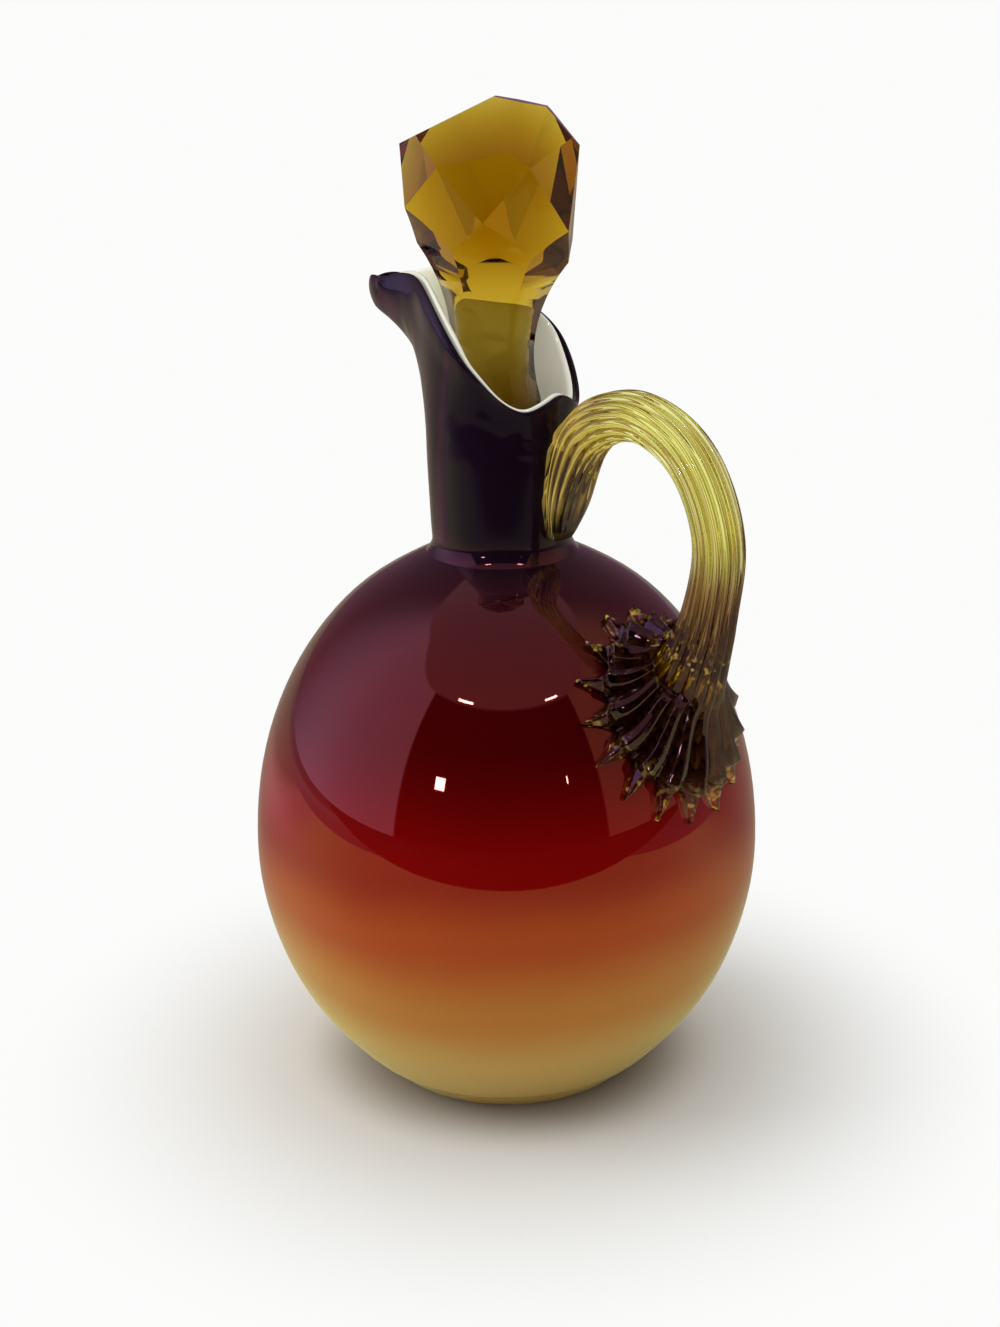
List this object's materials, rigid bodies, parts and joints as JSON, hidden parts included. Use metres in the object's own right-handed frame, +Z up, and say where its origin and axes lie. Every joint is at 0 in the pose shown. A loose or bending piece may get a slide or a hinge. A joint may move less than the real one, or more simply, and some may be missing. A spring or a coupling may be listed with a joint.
{
  "type": "cruet",
  "caption": "Footed cased-glass cruet with a round belly, a high pouring lip, a reeded loop handle with a shell foot, and a faceted stopper that lifts out.",
  "frame": {"origin": "on the vessel's axis, at its ground base", "axes": "+Z up along the vessel's axis, +X towards the handle, -X towards the pouring lip"},
  "size_m": [0.0949, 0.0894, 0.1709],
  "materials": {
    "shaded_casing": "glossy, shaded from near-black red above to amber below",
    "opal_lining": "glossy opaque cream",
    "amber_handle": "clear amber, fire-polished",
    "amber_stopper": "clear amber, cut and polished"
  },
  "bodies": {
    "vessel": {"outer_casing": "shaded_casing", "opal_lining": "opal_lining", "reeded_handle": "amber_handle"},
    "stopper": {"faceted_stopper": "amber_stopper"}
  },
  "joints": [
    {"name": "stopper_lift", "type": "slide", "parent": "vessel", "child": "stopper", "axis": [0, 0, 1], "range_m": [0, 0.052]}
  ]
}
